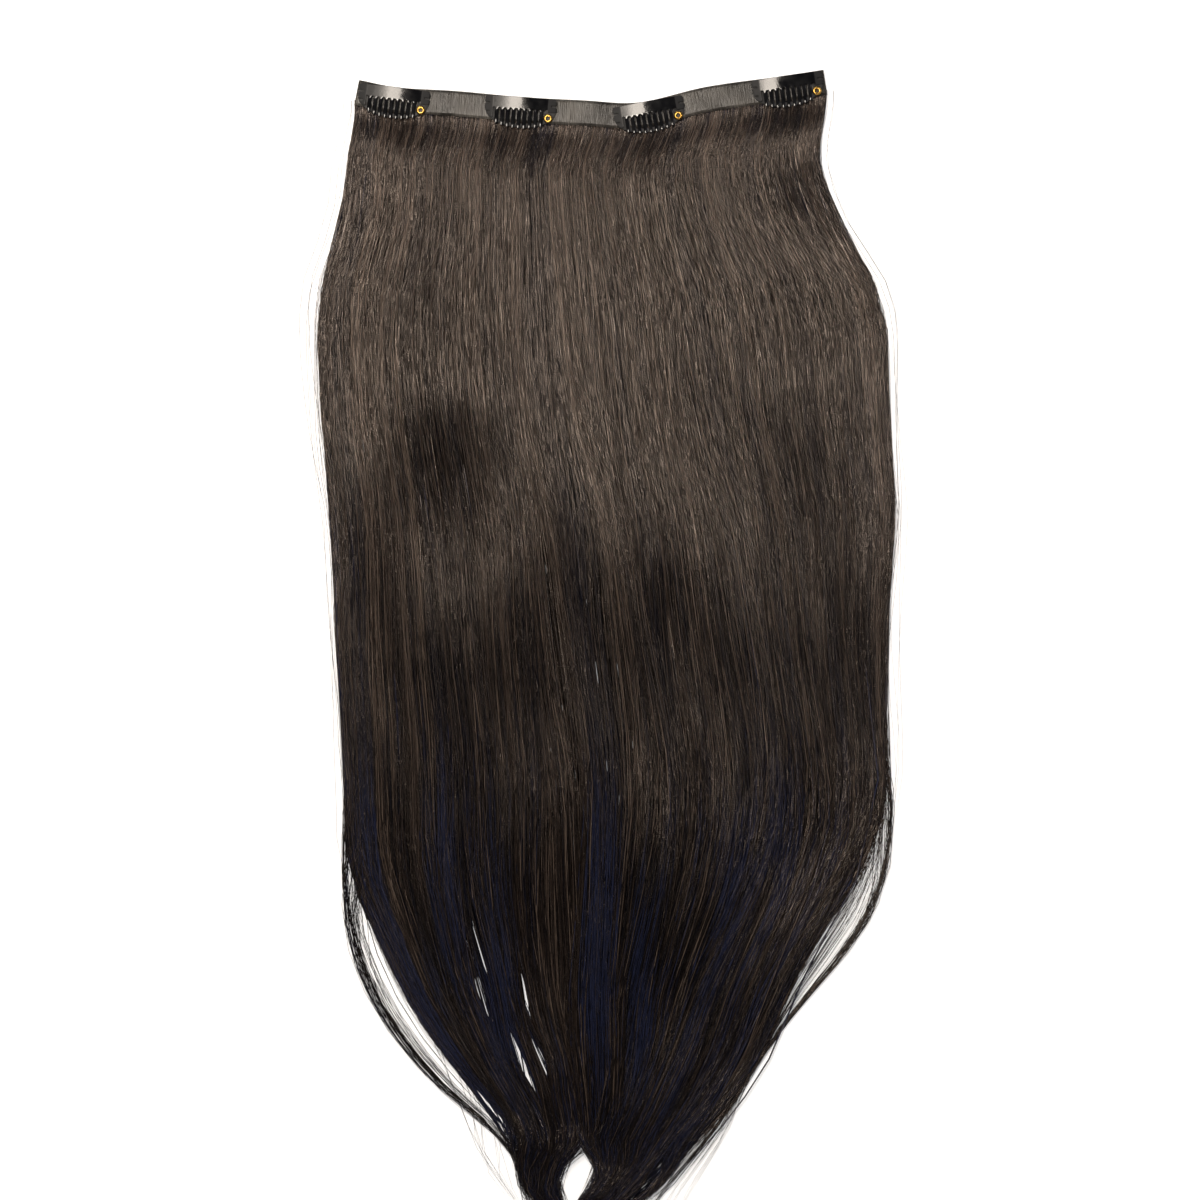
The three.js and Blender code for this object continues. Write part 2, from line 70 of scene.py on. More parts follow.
KEY_HEIGHT, KEY_GLOW = 1.2, 40.0  # metres, watts for a square metre
KEY_STEPS = [(-0.25, -0.03, 1.0), (-0.31, -0.25, 0.62), (-0.38, -0.31, 0.36), (-0.48, -0.38, 0.2)]
KEY_STEPS += [(-0.65, -0.48, 0.12), (-0.85, -0.65, 0.07)]  # left and right side, share of the glow
KEY_ROWS = [(-0.13, 0.0, 1.0), (0.0, 0.47, 0.53)]  # near and far side, share of the glow
for left, right, share in KEY_STEPS:
    for near, far, row_share in KEY_ROWS:
        over = ((left + right) / 2, (near + far) / 2)
        size = (right - left, far - near)
        power = KEY_GLOW * share * row_share * np.pi * size[0] * size[1]
        softbox("key", (*over, KEY_HEIGHT), (*over, 0), size, power, (1, 0.905, 0.8))
softbox("band_fill", (0, 1.3, 0.9), (0, -0.1, 0), (1.8, 0.4), 4, (1, 1, 1))
softbox("tips_fill", (0, -1.8, 0.9), (0, -0.3, 0), (1.8, 0.4), 4, (1, 0.97, 1))
softbox("right_fill", (1.7, 0.1, 0.9), (0.1, 0.0, 0), (0.5, 1.2), 3.2, (1, 0.95, 1))

world = bpy.data.worlds.new("room")
bpy.context.scene.world = world
world.use_nodes = True
world.node_tree.nodes["Background"].inputs["Color"].default_value = (0.9, 0.95, 1, 1)
world.node_tree.nodes["Background"].inputs["Strength"].default_value = 0.04


def material(name, roughness, specular=0.5, metallic=0.0):
    """A new material: its node tree, its shader and a function that adds and joins nodes."""
    made = bpy.data.materials.new(name)
    made.use_nodes = True
    tree = made.node_tree
    shader = tree.nodes["Principled BSDF"]
    shader.inputs["Roughness"].default_value = roughness
    shader.inputs["Specular IOR Level"].default_value = specular
    shader.inputs["Metallic"].default_value = metallic

    def node(kind, settings=(), **inputs):
        """A node of that kind; an input is a plain value or another node's output."""
        added = tree.nodes.new("ShaderNode" + kind)
        for key, value in dict(settings).items():
            setattr(added, key, value)
        for key, value in inputs.items():
            socket = added.inputs[int(key[1:]) if key[1:].isdigit() else key.replace("_", " ")]
            if isinstance(value, bpy.types.NodeSocket):
                tree.links.new(value, socket)
            else:
                socket.default_value = value
        return added

    def join(output, socket):
        """Feeds an input of the shader."""
        tree.links.new(output, shader.inputs[socket])

    return made, node, join


def ramp(node, factor, *stops):
    """Colours or greys at places from 0 to 1, blended between them."""
    made = node("ValToRGB", Fac=factor)
    while len(made.color_ramp.elements) < len(stops):
        made.color_ramp.elements.new(0.5)
    for element, (place, colour) in zip(made.color_ramp.elements, stops):
        element.position = place
        element.color = (*np.broadcast_to(colour, 3), 1)
    return made.outputs["Color"]


def new_piece(name, points, faces, maps=()):
    """An object at the origin from points in metres and arrays of faces, a row of corners each.

    A map gives one pair of texture coordinates for each corner, in the order of the faces.
    """
    mesh = bpy.data.meshes.new(name)
    points = np.reshape(points, (-1, 3))
    corners = np.concatenate([each.ravel() for each in faces]).astype(np.int32)
    sizes = np.concatenate([np.full(len(each), each.shape[1]) for each in faces])
    mesh.vertices.add(len(points))
    mesh.vertices.foreach_set("co", np.ascontiguousarray(points, np.float32).ravel())
    mesh.loops.add(len(corners))
    mesh.loops.foreach_set("vertex_index", corners)
    mesh.polygons.add(len(sizes))
    mesh.polygons.foreach_set("loop_start", (np.cumsum(sizes) - sizes).astype(np.int32))
    mesh.update(calc_edges=True)
    mesh.polygons.foreach_set("use_smooth", np.ones(len(sizes), bool))
    for key, places in dict(maps).items():
        mesh.uv_layers.new(name=key).uv.foreach_set(
            "vector", np.ascontiguousarray(places, np.float32).ravel()
        )
    made = bpy.data.objects.new(name, mesh)
    bpy.context.scene.collection.objects.link(made)
    return made


TABLE_HALF, TABLE_DROP = 4, 0.2 * MM  # metres
corners = np.array([(-1, -1, 0), (1, -1, 0), (1, 1, 0), (-1, 1, 0)]) * TABLE_HALF
table = new_piece("table", corners - (0, 0, TABLE_DROP), [np.array([[0, 1, 2, 3]])])
pale, node, join = material("table_pale", 1.0, specular=0.0)
mottle = node("TexNoise", Vector=node("TexCoord").outputs["Object"], Scale=3)
join(ramp(node, mottle.outputs["Fac"], (0.3, 0.84), (0.7, 0.86)), "Base Color")
glow = pale.node_tree.nodes["Principled BSDF"].inputs
glow["Emission Color"].default_value, glow["Emission Strength"].default_value = (1, 1, 1, 1), 0.5
table.data.materials.append(pale)

# ---------------------------------------------------------------------------------------------
# The band is one thin strip of clear skin, folded over the hair's roots and pressed shut at both
# ends. It is smooth and glossy and shows the roots through it as fine stripes, and it bows down
# between its ends as the photograph has it.
# ---------------------------------------------------------------------------------------------
BAND_LENGTH, BAND_WIDTH, BAND_THICK, SKIN = 206, 11, 2.1, 0.5  # millimetres
END_SEAL, SEALED_THICK = 1.4, 1.35
RAGGED, CROWN, WAVY = 0.22, 0.1, 0.22  # its cut edge's unevenness, its top's fall and its waves
BAND_SAG, BAND_MIDDLE = 14.5, 0.93
BAND_COURSE = np.array(  # share of the length, and how far it has dropped, a share of the sag
    [(0, 0.31), (0.08, 0.53), (0.21, 0.65), (0.35, 0.83), (0.48, 0.93), (0.6, 1)]
    + [(0.75, 0.52), (0.91, 0.2), (1, 0)]
)


def smooth_course(points, steps):
    """The curve through points whose gaps count as the square root of their length.

    Between two points it is a cubic, and its slope at a point is the one before it, less the one
    across both neighbours, plus the one after it.
    """
    ends = np.vstack([2 * points[0] - points[1], points, 2 * points[-1] - points[-2]])
    gap = np.linalg.norm(np.diff(ends, axis=0), axis=1)[:, None] ** 0.5
    a, b, c, d = ends[:-3], ends[1:-2], ends[2:-1], ends[3:]
    g, h, k = gap[:-2], gap[1:-1], gap[2:]
    leave = ((b - a) / g - (c - a) / (g + h) + (c - b) / h) * h
    arrive = ((c - b) / h - (d - b) / (h + k) + (d - c) / k) * h
    t = np.linspace(0, 1, steps + 1)[None, :-1, None]
    b, c, leave, arrive = (each[:, None] for each in (b, c, leave, arrive))
    run = (2 * t**3 - 3 * t**2 + 1) * b + (t**3 - 2 * t**2 + t) * leave
    run = run + (3 * t**2 - 2 * t**3) * c + (t**3 - t**2) * arrive
    return np.vstack([run.reshape(-1, 2), points[-1]])


BAND_LINE = smooth_course((BAND_COURSE - (0.5, BAND_MIDDLE)) * (BAND_LENGTH, -BAND_SAG), 120)
BAND_RUN = np.r_[0, np.cumsum(np.linalg.norm(np.diff(BAND_LINE, axis=0), axis=1))]
BAND_RUN /= BAND_RUN[-1]
BAND_HEADING = np.gradient(BAND_LINE, BAND_RUN, axis=0)
BAND_HEADING /= np.linalg.norm(BAND_HEADING, axis=1)[:, None]


def on_band(share, across):
    """x and y at a share of the band's length, `across` its middle line towards its fold.

    Past an end the line goes on straight.
    """
    inside = np.clip(share, 0, 1)
    x, y = (np.interp(inside, BAND_RUN, BAND_LINE[:, i]) for i in (0, 1))
    run = np.stack([np.interp(inside, BAND_RUN, BAND_HEADING[:, i]) for i in (0, 1)])
    run /= np.hypot(*run)
    past = (share - inside) * BAND_LENGTH
    return x + run[0] * past - run[1] * across, y + run[1] * past + run[0] * across


def ripple(at, waves, seed):
    """A sum of sine waves of those lengths, each with a seeded phase, between -1 and 1."""
    phase = np.random.default_rng(seed).uniform(0, 2 * np.pi, len(waves))
    return sum(np.sin(2 * np.pi * at / w + p) for w, p in zip(waves, phase)) / len(waves)


def grid_faces(rows, columns, ring=False):
    """Faces between the points of a grid, whose rows follow each other; a ring's rows close."""
    r, c = np.meshgrid(
        np.arange(rows - 1), np.arange(columns if ring else columns - 1), indexing="ij"
    )
    n = (c + 1) % columns
    corners = (r * columns + c, r * columns + n, (r + 1) * columns + n, (r + 1) * columns + c)
    return np.stack(corners, -1).reshape(-1, 4)


def folded_skin(stations, straight, turn):
    """The band as a grid: stations along its length, and a ring round its folded section.

    The skin's middle runs along the table, round a half circle at the fold and back above, and
    its two faces lie half a skin to each side of that. Towards an end the inner faces close and
    the upper layer comes down.
    """
    fold = BAND_THICK / 2 - SKIN / 2
    bend = np.linspace(-np.pi / 2, np.pi / 2, turn)
    out = np.linspace(-BAND_WIDTH / 2, BAND_WIDTH / 2 - BAND_THICK / 2, straight)
    across = np.r_[out[:-1], out[-1] + fold * np.cos(bend), out[-2::-1]]
    height = np.r_[0 * out[:-1], fold * np.sin(bend) + fold, 0 * out[:-1] + 2 * fold] - fold
    facing = np.r_[0 * out[:-1], np.cos(bend), 0 * out[:-1]]
    rising = np.r_[0 * out[:-1] - 1, np.sin(bend), 0 * out[:-1] + 1]
    v = np.r_[across + facing * SKIN / 2, out[0], (across - facing * SKIN / 2)[::-1], out[0]]
    z = np.r_[height + rising * SKIN / 2, fold, (height - rising * SKIN / 2)[::-1], -fold]
    bulge = np.zeros(len(v))
    count = len(across)
    bulge[[count, -1]] = -SKIN / 3
    inner = np.zeros(len(v))
    inner[count + 1 : -1] = 1

    share = np.linspace(0, 1, stations)[:, None]
    along = share * BAND_LENGTH
    shut = np.clip(1 - np.minimum(along, BAND_LENGTH - along) / END_SEAL, 0, 1) ** 0.5
    upper = z > 0
    edge = np.clip(-v / (BAND_WIDTH / 2), 0, 1) ** 8
    ragged = RAGGED * ripple(along + 40 * upper, (23, 9.1, 4.3, 1.9, 1.1), 3) * edge
    crown = np.where(upper, -CROWN * (v / (BAND_WIDTH / 2)) ** 2, 0)
    wavy = np.where(upper, WAVY * ripple(along + 0.5 * v, (61, 33, 21, 15), 5) - WAVY, 0)
    level = z * (1 - shut * inner) + crown * (1 - shut) + wavy * (1 - shut)
    level = level + BAND_THICK / 2
    press = np.clip(level - SEALED_THICK / 2, 0, None) * (1 - SEALED_THICK / BAND_THICK)
    level = level - press * shut
    x, y = on_band(np.broadcast_to(share, (stations, len(v))), v + bulge + ragged)
    return np.stack([x, y, level], -1), count, share, v


points, layer, share, across = folded_skin(300, 9, 9)
rows, ring = points.shape[:2]
walls = grid_faces(rows, ring, ring=True)
k = np.arange(layer - 1)
cap = np.stack([k, 2 * layer - k, 2 * layer - k - 1, k + 1], -1)
lips = np.array([[layer - 1, layer + 1, layer], [0, 2 * layer + 1, 2 * layer]])
last = (rows - 1) * ring
caps = [cap, lips, cap[:, ::-1] + last, lips[:, ::-1] + last]


def band_maps():
    """Texture places for each corner: millimetres along and across, and a flat unrolled sheet."""
    r, c = np.meshgrid(np.arange(rows - 1), np.arange(ring), indexing="ij")
    r, c = (each.ravel() for each in (r, c))
    four_r = np.stack([r, r, r + 1, r + 1], -1)
    four_c = np.stack([c, c + 1, c + 1, c], -1)
    lay = np.stack([share[four_r, 0] * BAND_LENGTH, across[four_c % ring]], -1)
    sheet = np.stack([four_r / (rows - 1), four_c / ring * 0.96], -1)
    flat = [lay.reshape(-1, 2)], [sheet.reshape(-1, 2)]
    for each, side in zip(caps, (0, 0, 1, 1)):
        at = each.ravel() % ring
        flat[0].append(np.stack([np.full(len(at), side * BAND_LENGTH), across[at]], -1))
        inner = (at > layer) * 0.01
        flat[1].append(np.stack([at / ring * 0.4 + 0.5 * side, 0.98 + inner], -1))
    return np.vstack(flat[0]), np.vstack(flat[1])


lay, sheet = band_maps()
band = new_piece("skin_band", points * MM, [walls, *caps], {"lay": lay, "OFBake": sheet})


def banded_noise(node, lay, along, across, scale, detail=2.0):
    """Noise on a piece's own lay, stretched by a factor along and across."""
    mapping = node("Mapping", Vector=lay, Scale=(along, across, 1))
    return node(
        "TexNoise", Vector=mapping.outputs["Vector"], Scale=scale, Detail=detail
    ).outputs["Fac"]


skin, node, join = material("glossy_skin", 0.4, specular=0.22)
lay = node("UVMap", {"uv_map": "lay"}).outputs["UV"]
roots = ramp(node, banded_noise(node, lay, 2.2, 0.07, 1, 4), (0.3, 0.0), (0.7, 1.0))
cloud = banded_noise(node, lay, 0.06, 0.05, 1, 2)
base = ramp(node, cloud, (0.36, (0.028, 0.025, 0.022)), (0.62, (0.115, 0.106, 0.094)))
MULTIPLY = {"data_type": "RGBA", "blend_type": "MULTIPLY"}
striped = node("Mix", MULTIPLY, _0=0.7, _6=base, _7=roots)
join(striped.outputs[2], "Base Color")
join(ramp(node, roots, (0.0, 0.15), (1.0, 0.3)), "Roughness")
bump = node("Bump", Strength=0.35, Distance=0.0002, Height=roots)
join(bump.outputs["Normal"], "Normal")
band.data.materials.append(skin)
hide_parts("band")
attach(band, "weft")

# ---------------------------------------------------------------------------------------------
# The hair is straight, nearly black brown, and about 49 cm long. Its roots are bonded inside the
# folded band. It fans out wider than the band, lies low under the combs, swells to 11 mm over the
# first 15 cm, and gathers again to uneven tips that part into slits and loose wisps.
# ---------------------------------------------------------------------------------------------
ROOT_SET, HAIR_END, HAIR_RUN = -3.5, -497.5, 494  # millimetres
SIDES = np.array(  # millimetres below the band's middle, and the mass's left and right sides
    [(3.5, -103.4, 101.5), (16, -106.3, 99.2), (27, -107.2, 100.3), (38, -107.6, 103.8)]
    + [(49, -109.5, 108.6), (60, -113.1, 115.6), (71, -117.2, 122.8), (82, -119.2, 127.4)]
    + [(93, -120.0, 129.6), (115, -119.6, 130.6), (137, -118.3, 131.2), (159, -115.7, 132.6)]
    + [(176, -113.2, 133.8), (192, -112.4, 132.6), (214, -112.2, 130.4), (236, -111.8, 129.2)]
    + [(258, -110.3, 129.1), (280, -109.2, 129.8), (302, -108.3, 128.8), (324, -107.6, 122.3)]
    + [(343, -102.5, 112.5), (364, -92.8, 98.4), (390, -80.6, 84.2), (413, -65.5, 74.8)]
    + [(429, -52.3, 64.6), (447, -38, 50), (463, -27, 32), (477, -22, 18), (498, -14, 9)]
)
THICKNESS = np.array(  # millimetres down the hair, its underside, its top
    [(0, 0.8, 1.3), (3, 0.7, 1.4), (7, 0.5, 1.75), (14, 0.35, 3.2), (30, 0.25, 5.6)]
    + [(64, 0.2, 8.4), (99, 0.2, 10.3), (148, 0.2, 10.8), (198, 0.2, 10.4), (247, 0.2, 9.9)]
    + [(296, 0.2, 9.3), (336, 0.2, 8.6), (370, 0.2, 7.8), (405, 0.2, 6.8), (435, 0.2, 5.6)]
    + [(464, 0.2, 4.2), (494, 0.2, 2.2)]
)
SWAY = np.array(  # share of the length, and how far the middle is pushed over, in millimetres
    [(0, 0), (0.13, -3), (0.3, 3), (0.4, 11), (0.5, 19), (0.6, 25), (0.68, 27), (0.78, 22)]
    + [(0.88, 10), (1, -2)]
)
SLITS = np.array(  # place of a parting, half its length and width, and its lean, in millimetres
    [(-49, -368, 13, 1.9, 0.15), (-48, -387, 10, 2.3, 0.45), (-29, -388, 11, 1.6, 0.3)]
    + [(-30, -417, 12, 2.3, 0.45), (-23, -412, 12, 2.0, 0.3), (-6.5, -468, 12, 8.5, 0.0)]
    + [(19, -474, 9, 1.8, -0.5), (27, -468, 11, 2.0, -0.6), (-24, -459, 9, 1.6, 0.6)]
    + [(-43, -439, 11, 1.3, 0.85), (-35.5, -451, 9, 1.5, 0.8)]
)
FINE_WAVER, BROAD_WAVER, HEIGHT_WAVER = 0.45, 1.3, 0.25  # a strand's own, in millimetres
SWELL_WAVES, SWELL_HIGH = 8, 2.2
CLIP_RISE, CLIP_RISE_HALF = 2, (15, 11)  # how the hair rises below a clip, and across and down


def between(table, at):
    """A table's columns at places between its rows, on a smooth curve through them.

    Between two rows it is a cubic whose slope at a row is the one over both its neighbours.
    """
    place, rows = table[:, 0], table[:, 1:]
    slope = np.gradient(rows, place, axis=0)
    at = np.clip(at, place[0], place[-1])
    i = np.clip(np.searchsorted(place, at) - 1, 0, len(place) - 2)
    gap = (place[i + 1] - place[i])[..., None]
    t = (at - place[i])[..., None] / gap
    value = (2 * t**3 - 3 * t**2 + 1) * rows[i] + (t**3 - 2 * t**2 + t) * gap * slope[i]
    value = value + (3 * t**2 - 2 * t**3) * rows[i + 1] + (t**3 - t**2) * gap * slope[i + 1]
    return np.moveaxis(value, -1, 0)


def ease(low, high, at):
    """0 up to `low`, 1 from `high` on, and a smooth step between."""
    t = np.clip((at - low) / (high - low), 0, 1)
    return t * t * (3 - 2 * t)


HUMPS = [  # middle, half widths across and down, and height of a hump or, below nought, a hollow
    (-70, -124, 24, 32, 7.5),
    (-108, -146, 26, 36, 9.5),
    (-96, -86, 10, 13, 1.3),
    (-52, -172, 26, 24, -1.8),
    (-64, -236, 40, 40, 1.8),
    (0, -112, 50, 34, -1.8),
    (0, -178, 45, 36, 2.6),
    (-38, -190, 22, 30, 2.0),
    (-40, -264, 24, 34, -2.6),
    (28, -196, 16, 26, 1.8),
    (28, -246, 20, 30, -0.7),
    (78, -222, 44, 56, 1.6),
    (64, -300, 42, 46, 3.2),
    (95, -110, 30, 60, 1.4),
    (-52, -316, 40, 40, 1.6),
    (14, -272, 26, 30, 1.6),
]
PRESSED = [(-87, -20), (-31, -26), (25, -28), (86, -14)]  # where the hair rises below each clip


def swell(x, y):
    """The hair's surface over its even thickness, in millimetres: eight sines that run mostly
    down the hair, and round bells, each with its middle, its two half widths and its height.
    """
    rng = np.random.default_rng(21)
    ranges = [(60, 170), (75, 150), (0, 6.3)]
    wide, long, phase = (rng.uniform(low, high, SWELL_WAVES) for low, high in ranges)
    side = rng.choice([-1, 1], SWELL_WAVES)
    waves = zip(wide * side, long, phase)
    low = sum(np.sin(2 * np.pi * (x / w + y / k) + p) for w, k, p in waves) / SWELL_WAVES
    bells = sum(
        high * np.exp(-(((x - cx) / w) ** 2) - ((y - cy) / k) ** 2) for cx, cy, w, k, high in HUMPS
    )
    return SWELL_HIGH * low + bells


def lay_strands(place, reach, level, lock, stations, tied=1.0, lowest=0.35):
    """Middle lines of many strands at once: a row of points, in millimetres, for each.

    A strand starts in the band's slot at its place and goes down to its reach. Sideways it keeps
    its share between the hair's two sides, with the sway, its lock's drift, as far as it is tied
    to its lock, and its own waver. In height it keeps its level between the underside and the
    top, on the swell.
    """
    rng = np.random.default_rng(len(place))
    step = np.arange(len(stations)) + rng.uniform(-0.4, 0.4, (len(place), 1))
    step[:, [0, -1]] = 0, len(stations) - 1
    run = np.interp(step, np.arange(len(stations)), stations / stations[-1])
    down = run * reach[:, None]
    root_x, root_y = on_band((place + 1) / 2, ROOT_SET)
    y = root_y[:, None] * (1 - down) + HAIR_END * down
    middle, drift, lean, wave, phase, tuft = (each[lock][:, None] for each in LOCKS)
    offset = place[:, None] - middle
    gathered = middle + offset * (1 - 0.6 * tied * ease(0.25, 1, down) * tuft)
    left, right = between(SIDES, -y)
    x = left + (right - left) * (gathered + 1) / 2
    inside = 1 - np.abs(place[:, None]) ** 3
    drift, lean = drift * tied, lean * tied
    x = x + between(SWAY, down)[0] * ((1 - place**2) * (1 + 0.6 * place))[:, None]
    x = x + inside * ease(0.02, 0.5, down) * drift * np.sin(down * 7 + phase)
    x = x + inside * lean * ease(0.05, 0.9, down)
    waver = rng.normal(0, 1, (3, len(place), 1))
    x = x + FINE_WAVER * waver[0] * np.sin(down * 31 + 3 * waver[1]) * ease(0.02, 0.2, down)
    strayed = BROAD_WAVER * waver[2] * np.exp(0.7 * np.abs(waver[1]))
    x = x + strayed * ease(0.1, 1, down) * inside
    x = root_x[:, None] + (x - root_x[:, None]) * ease(0, 0.045, down)
    for cx, cy, half, wide, slant in SLITS:
        off = x - cx + slant * (y - cy)
        passing = np.abs(y - cy).argmin(1)[:, None]
        side = np.sign(np.take_along_axis(off, passing, 1))
        push = wide * np.clip(1 - np.abs(off) / (9 * wide), 0, 1)
        x = x + side * push * np.exp(-(((y - cy) / half) ** 4))

    under, top = between(THICKNESS, down * HAIR_RUN)
    rim = 0.1 + 0.9 * (1 - np.abs(place[:, None]) ** 5)
    grown = ease(0.02, 0.08, down) * (1 - 0.6 * ease(0.8, 1, down))
    bed = (top - under) * (1 - (1 - rim) * ease(0.01, 0.1, down))
    rounded = np.clip(np.abs(offset) * LOCK_COUNT / 2, 0, 1.4) ** 2
    z = under + bed * level[:, None]
    z = z + grown * level[:, None] * rim * (
        swell(x, y) + wave * np.sin(down * HAIR_RUN / 17 + phase) - 0.7 * rounded * tuft
    )
    w, k = CLIP_RISE_HALF
    rises = sum(np.exp(-(((x - cx) / w) ** 2) - ((y - cy) / k) ** 2) for cx, cy in PRESSED)
    z = z + CLIP_RISE * rises * level[:, None] * ease(0, 0.012, down)
    z = z + HEIGHT_WAVER * waver[1] * np.sin(down * 43 + 5 * waver[0]) * grown
    return np.stack([x, y, np.maximum(z, lowest)], -1)


def across_lines(lines):
    """Two unit directions at each point of middle lines: level and square to the line, and square
    to both.
    """
    run = np.gradient(lines, axis=1)
    run /= np.linalg.norm(run, axis=2)[..., None]
    side = np.cross(run, (0, 0, 1.0))
    side /= np.linalg.norm(side, axis=2)[..., None]
    return side, np.cross(side, run)


def strand_mesh(name, lines, girth, tone, turn):
    """Three-sided tapering strands round middle lines; a ring of corners at each point but the
    last, where they meet in the tip. The map holds a strand's tone across and its length down.
    """
    count, steps = lines.shape[:2]
    side, up = across_lines(lines)
    down = np.linspace(0, 1, steps)
    taper = girth[:, None] * (0.8 + 0.2 * ease(0, 0.2, down) - 0.6 * ease(0.7, 1, down))
    angle = turn[:, None, None] + np.arange(3) * 2 * np.pi / 3
    ring = side[:, :, None] * np.cos(angle)[..., None] + up[:, :, None] * np.sin(angle)[..., None]
    ring = lines[:, :-1, None] + taper[:, :-1, None, None] * ring[:, :-1]
    size = 3 * (steps - 1) + 1
    points = np.concatenate([ring.reshape(count, -1, 3), lines[:, -1:]], axis=1).reshape(-1, 3)

    walls = grid_faces(steps - 1, 3, ring=True)
    j = np.arange(3)
    tip = np.stack([3 * (steps - 2) + j, 3 * (steps - 2) + (j + 1) % 3, np.full(3, size - 1)], -1)
    first = (np.arange(count) * size)[:, None, None]
    faces = [(walls + first).reshape(-1, 4), (tip + first).reshape(-1, 3)]
    faces.append((np.array([[2, 1, 0]]) + first).reshape(-1, 3))

    r, c = np.meshgrid(np.arange(steps - 2), np.arange(3), indexing="ij")
    r, c = r.ravel(), c.ravel()
    row = [np.stack([r, r, r + 1, r + 1], -1), np.tile([steps - 2, steps - 2, steps - 1], (3, 1))]
    row.append(np.zeros((1, 3), int))
    column = [np.stack([c, c + 1, c + 1, c], -1), np.stack([j, j + 1, j + 0.5], -1)]
    column.append(np.array([[2, 1, 0]]))
    maps = []
    for r, c in zip(row, column):
        shade = tone[:, r] + (c / 3 - 0.5) * 0.02
        maps.append(np.stack([shade, np.broadcast_to(down[r], shade.shape)], -1).reshape(-1, 2))
    flipped = np.concatenate(
        [m.reshape(-1, f.shape[1], 2)[:, ::-1].reshape(-1, 2) for m, f in zip(maps, faces)]
    )
    outwards = [each[:, ::-1] for each in faces]
    return new_piece(name, points * MM, outwards, {"OFBake": np.clip(flipped, 0, 1)})


LOCK_COUNT = 150
rng = np.random.default_rng(7)
apart = np.arange(LOCK_COUNT)[:, None] - np.arange(LOCK_COUNT)[None]


def shared(spread):
    """Random numbers of unit size that neighbouring locks share, as far as a spread of locks."""
    blend = np.exp(-((apart / spread) ** 2)) @ rng.normal(0, 1, LOCK_COUNT)
    return blend / np.sqrt((np.exp(-2 * (apart / spread) ** 2)).sum(1))


LOCKS = np.stack(  # of each lock: its place, drift, lean, wave, phase, and how tufted it is
    [
        np.linspace(-1, 1, LOCK_COUNT) + rng.uniform(-0.004, 0.004, LOCK_COUNT),
        2.6 * shared(4) + 0.4 * shared(1),
        3.4 * shared(5) + 1.2 * shared(1),
        rng.uniform(0.3, 1.35, LOCK_COUNT),
        2.2 * shared(6) + 0.4 * shared(1),
        rng.uniform(0.4, 1.0, LOCK_COUNT),
    ]
)
LOCK_TONE = np.clip(0.4 + 0.13 * shared(1) + 0.07 * shared(3), 0.1, 0.8)
TOP_STATIONS = np.array([0, 3, 7, 13, 22, 36, 56, 82, 112, 145, 180, 216, 252, 288, 324, 360])
PARTED_STATIONS = np.r_[TOP_STATIONS[:15], 345, 360, 374, 386, 398, 410, 422, 434, 447, 457, 466]
TOP_STATIONS = np.r_[TOP_STATIONS, 395, 424, 444, 457, 466, 475, 484, 494]
PARTED_STATIONS = np.r_[PARTED_STATIONS, 475, 484, 494]
UNDER_STATIONS = np.array([0, 4, 10, 24, 50, 95, 150, 215, 285, 340, 366, 386, 404, 422, 440])
UNDER_STATIONS = np.r_[UNDER_STATIONS, 454, 466, 478, 494]

hair_shade, node, join = material("dark_hair", 0.24, specular=0.9)
tint = hair_shade.node_tree.nodes["Principled BSDF"].inputs["Specular Tint"]
tint.default_value = (1, 0.85, 0.75, 1)
own = node("UVMap", {"uv_map": "OFBake"}).outputs["UV"]
lay = node("SeparateXYZ", Vector=own)
tone = ramp(
    node,
    lay.outputs["X"],
    (0.0, (0.02, 0.027, 0.07)),
    (0.13, (0.0055, 0.0065, 0.015)),
    (0.3, (0.003, 0.0022, 0.0026)),
    (0.48, (0.0105, 0.007, 0.0062)),
    (0.7, (0.043, 0.03, 0.0245)),
    (1.0, (0.17, 0.126, 0.1)),
)
stretched = node("Mapping", Vector=own, Scale=(420, 70, 1)).outputs["Vector"]
glints = node("TexNoise", Vector=stretched, Scale=1, Detail=2).outputs["Fac"]
uneven = ramp(node, glints, (0.34, 0.25), (0.66, 1.0))
# Base colour: the tone, which holds painted shade towards the tips and under the top strands,
# darkened along each strand by the glints noise.
darkened = node("Mix", MULTIPLY, _0=1.0, _6=tone, _7=uneven)
join(darkened.outputs[2], "Base Color")
join(ramp(node, glints, (0.3, 0.3), (0.7, 0.15)), "Roughness")
join(node("Bump", Strength=0.5, Distance=0.00012, Height=glints).outputs["Normal"], "Normal")


def hair_piece(name, lines, tone, girth, seed):
    """Strands as one piece of the hair, which rides with the band."""
    turn = np.random.default_rng(seed).uniform(0, 6.3, len(lines))
    made = strand_mesh(name, lines, girth, np.clip(tone, 0.012, 0.985), turn)
    made.data.materials.append(hair_shade)
    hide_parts("hair")
    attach(made, "weft")
    return made


TOP_STRANDS, TOP_GIRTH = 950, 0.19  # in each piece, and half a strand's width in millimetres
UNDER_STRANDS, UNDER_GIRTH = 900, 0.48
LIGHT_SHARE, LIGHTER = 0.22, (0.15, 0.66)  # how many strands stand out, and by how much
STREAKS_AND_PAINTED_LIGHT = [  # middle of a streak or of painted light, its half width and half length, and how much lighter it is
    (-66, -350, 6, 60, -0.4),
    (-40, -375, 5, 55, -0.4),
    (7, -350, 5, 60, -0.34),
    (21, -375, 5, 60, -0.34),
    (60, -338, 5, 40, -0.44),
    (70, -322, 3, 30, -0.4),
    (84, -318, 6, 40, -0.42),
    (-20, -360, 7, 45, 0.26),
    (40, -300, 5, 90, 0.1),
    (-50, -240, 4, 80, 0.1),
    (104, -260, 6, 90, 0.1),
    # Painted light on the hair just below the band, between the clips.
    (-59, -20, 11, 16, 0.2),
    (-3, -26, 11, 16, 0.22),
    (55, -16, 13, 16, 0.2),
]


